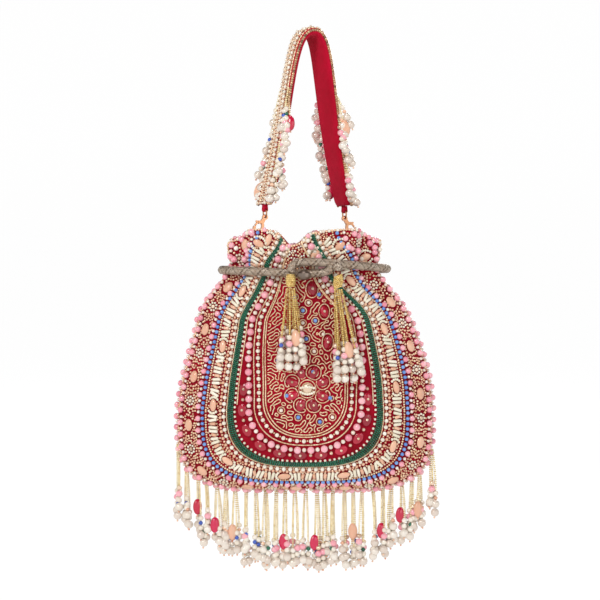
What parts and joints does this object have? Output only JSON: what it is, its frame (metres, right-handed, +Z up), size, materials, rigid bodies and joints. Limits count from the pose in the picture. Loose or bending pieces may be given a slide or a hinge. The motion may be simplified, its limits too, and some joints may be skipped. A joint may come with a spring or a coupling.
{
  "type": "drawstring potli bag",
  "caption": "Embroidered velvet drawstring pouch with a gathered mouth, a padded carrying strap on clasps, tassels and a beaded fringe.",
  "frame": {"origin": "the underside of the strap at its top, where a hand or a hook carries the bag", "axes": "+Z up, -Y out of the bag's front, +X to the right as seen from the front"},
  "size_m": [0.2363, 0.1033, 0.4909],
  "materials": {
    "embroidered_velvet": "velvet covered with beads",
    "crimson_velvet": "velvet",
    "crimson_lining": "satin",
    "rose_gold": "polished",
    "spring_steel": "satin",
    "gold_seed_beads": "glass seed beads",
    "pearl_strands": "pearl",
    "silver_cord": "braided metallic thread"
  },
  "bodies": {
    "strap": {"strap_band": "crimson_velvet", "strap_ring_left": "rose_gold", "strap_ring_right": "rose_gold", "strap_strand_01": "pearl_strands", "strap_strand_02": "pearl_strands", "strap_strand_03": "pearl_strands", "strap_strand_04": "pearl_strands", "strap_strand_05": "pearl_strands", "strap_strand_06": "pearl_strands", "strap_strand_07": "pearl_strands", "strap_strand_08": "pearl_strands", "strap_strand_09": "pearl_strands", "strap_strand_10": "pearl_strands", "strap_strand_11": "pearl_strands", "strap_strand_12": "pearl_strands", "strap_tab_left": "crimson_velvet", "strap_tab_right": "crimson_velvet"},
    "clasps": {"clasp_body_left": "rose_gold", "clasp_body_right": "rose_gold", "gate_pin_left": "rose_gold", "gate_pin_right": "rose_gold", "gate_spring_left": "rose_gold", "gate_spring_right": "rose_gold"},
    "bag": {"bag_ring_left": "rose_gold", "bag_ring_right": "rose_gold", "bag_tab_left": "crimson_velvet", "bag_tab_right": "crimson_velvet", "drawstring": "silver_cord", "drawstring_bead": "silver_cord", "fringe_section_1": "gold_seed_beads", "fringe_section_2": "gold_seed_beads", "fringe_section_3": "gold_seed_beads", "fringe_section_4": "gold_seed_beads", "fringe_section_5": "gold_seed_beads", "fringe_section_6": "gold_seed_beads", "pouch_back": "embroidered_velvet", "pouch_front": "embroidered_velvet", "pouch_lining": "crimson_lining"},
    "gate_left": {"clasp_gate_left": "rose_gold"},
    "gate_right": {"clasp_gate_right": "rose_gold"},
    "tassel_left": {"tassel_cap_left": "gold_seed_beads", "tassel_left_strand_1": "pearl_strands", "tassel_left_strand_2": "pearl_strands", "tassel_left_strand_3": "pearl_strands", "tassel_left_strand_4": "pearl_strands", "tassel_left_strand_5": "pearl_strands", "tassel_left_strand_6": "pearl_strands"},
    "tassel_right": {"tassel_cap_right": "gold_seed_beads", "tassel_right_strand_1": "pearl_strands", "tassel_right_strand_2": "pearl_strands", "tassel_right_strand_3": "pearl_strands", "tassel_right_strand_4": "pearl_strands", "tassel_right_strand_5": "pearl_strands", "tassel_right_strand_6": "pearl_strands"}
  },
  "joints": [
    {"name": "strap_on_clasps", "type": "hinge", "parent": "strap", "child": "clasps", "pos_m": [0, 0, -0.16], "axis": [0.9135, 0.4067, 0], "range_deg": [-32, 32]},
    {"name": "clasps_on_bag", "type": "hinge", "parent": "clasps", "child": "bag", "pos_m": [0, 0, -0.179], "axis": [0.9135, 0.4067, 0], "range_deg": [-26, 26]},
    {"name": "gate_left_opens", "type": "hinge", "parent": "clasps", "child": "gate_left", "pos_m": [-0.04087, -0.0182, -0.16812], "axis": [0.4067, -0.9135, 0], "range_deg": [0, 26], "stiffness_Nm_per_rad": 0.002, "springref_deg": -17.19},
    {"name": "gate_right_opens", "type": "hinge", "parent": "clasps", "child": "gate_right", "pos_m": [0.04087, 0.0182, -0.16812], "axis": [-0.4067, 0.9135, 0], "range_deg": [0, 26], "stiffness_Nm_per_rad": 0.002, "springref_deg": -17.19},
    {"name": "tassel_left_swings", "type": "hinge", "parent": "bag", "child": "tassel_left", "pos_m": [-0.0126, -0.0455, -0.2181], "axis": [-1, 0, 0], "range_deg": [0, 75]},
    {"name": "tassel_right_swings", "type": "hinge", "parent": "bag", "child": "tassel_right", "pos_m": [0.029, -0.0445, -0.2191], "axis": [-1, 0, 0], "range_deg": [0, 75]}
  ]
}
